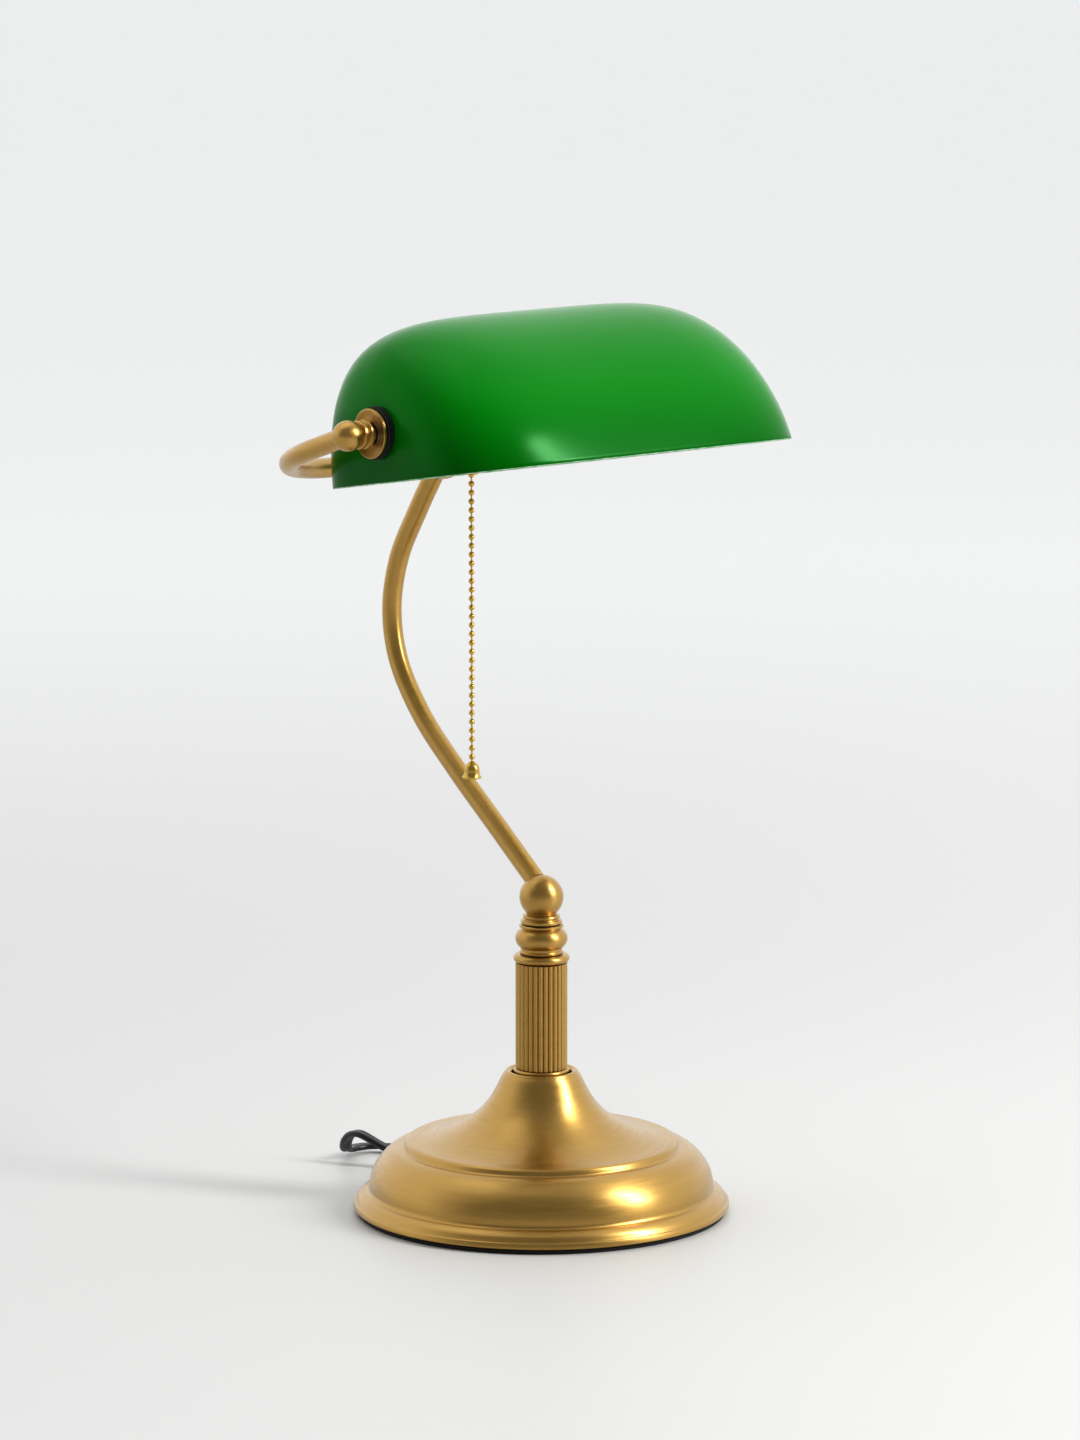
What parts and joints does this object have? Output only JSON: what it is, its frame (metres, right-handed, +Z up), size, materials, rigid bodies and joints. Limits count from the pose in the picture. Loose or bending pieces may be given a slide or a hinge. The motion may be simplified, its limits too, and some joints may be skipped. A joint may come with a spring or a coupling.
{
  "type": "desk lamp",
  "caption": "banker style desk lamp with a tilting green glass shade on a brass yoke, a reeded column on a domed round base, and a pull chain switch",
  "frame": {"origin": "centre of the underside of the foot pad, on the surface the lamp stands on", "axes": "+Z up; +Y to the back, where the cord leaves the base; +X to the right-hand end of the shade seen from the front"},
  "size_m": [0.3109, 0.2886, 0.4538],
  "materials": {
    "satin_brass": "brushed, lacquered, satin",
    "bright_brass": "polished",
    "zinc_steel": "zinc plated",
    "cast_weight": "as cast, painted dark",
    "black_rubber": "matt",
    "black_vinyl": "satin",
    "green_glass": "polished, green over a white inner layer",
    "phenolic": "moulded",
    "pressed_board": "fibre",
    "thread_aluminium": "rolled",
    "opal_glass": "opal"
  },
  "bodies": {
    "stand": {"base_shell": "satin_brass", "base_weight": "cast_weight", "bulb_cap": "thread_aluminium", "bulb_glass": "opal_glass", "centre_contact": "bright_brass", "chain_guide": "bright_brass", "column_bun": "satin_brass", "column_cap_ring": "satin_brass", "column_seat": "satin_brass", "cord_coil": "black_vinyl", "cord_relief": "black_vinyl", "cord_run": "black_vinyl", "cord_tail": "black_vinyl", "end_ball_left": "satin_brass", "end_ball_right": "satin_brass", "foot_pad": "black_rubber", "holder_cap": "satin_brass", "holder_liner": "pressed_board", "holder_shell": "satin_brass", "junction_ball": "satin_brass", "pivot_nipple_left": "zinc_steel", "pivot_nipple_right": "zinc_steel", "pivot_nut_left": "satin_brass", "pivot_nut_right": "satin_brass", "plug_blade_a": "bright_brass", "plug_blade_b": "bright_brass", "plug_body": "black_vinyl", "reeded_column": "satin_brass", "rod_nut": "zinc_steel", "rod_washer": "zinc_steel", "screw_shell": "thread_aluminium", "stem_ball": "satin_brass", "stem_tube": "satin_brass", "switch_block": "phenolic", "threaded_rod": "zinc_steel", "yoke_arm_left": "satin_brass", "yoke_arm_right": "satin_brass"},
    "shade": {"glass_shade": "green_glass", "outer_gasket_left": "black_rubber", "outer_gasket_right": "black_rubber", "inner_gasket_left": "black_rubber", "inner_gasket_right": "black_rubber", "outer_washer_left": "satin_brass", "outer_washer_right": "satin_brass", "inner_washer_left": "satin_brass", "inner_washer_right": "satin_brass"},
    "pull_link": {"chain_stub": "bright_brass"},
    "chain_top": {"chain_upper": "bright_brass"},
    "chain_end": {"chain_lower": "bright_brass", "chain_bell": "bright_brass"}
  },
  "joints": [
    {"name": "shade_tilt", "type": "hinge", "parent": "stand", "child": "shade", "pos_m": [0, -0.011, 0.40295], "axis": [1, 0, 0], "range_deg": [-30, 45]},
    {"name": "switch_pull", "type": "slide", "parent": "stand", "child": "pull_link", "axis": [0, 0, -1], "range_m": [0, 0.008], "stiffness_N_per_m": 600, "springref_m": -0.004},
    {"name": "chain_swing", "type": "hinge", "parent": "pull_link", "child": "chain_top", "pos_m": [-0.05377, -0.011, 0.37555], "axis": [0, 1, 0], "range_deg": [-25, 25]},
    {"name": "chain_bend", "type": "hinge", "parent": "chain_top", "child": "chain_end", "pos_m": [-0.05377, -0.011, 0.3103], "axis": [1, 0, 0], "range_deg": [-30, 30]}
  ]
}
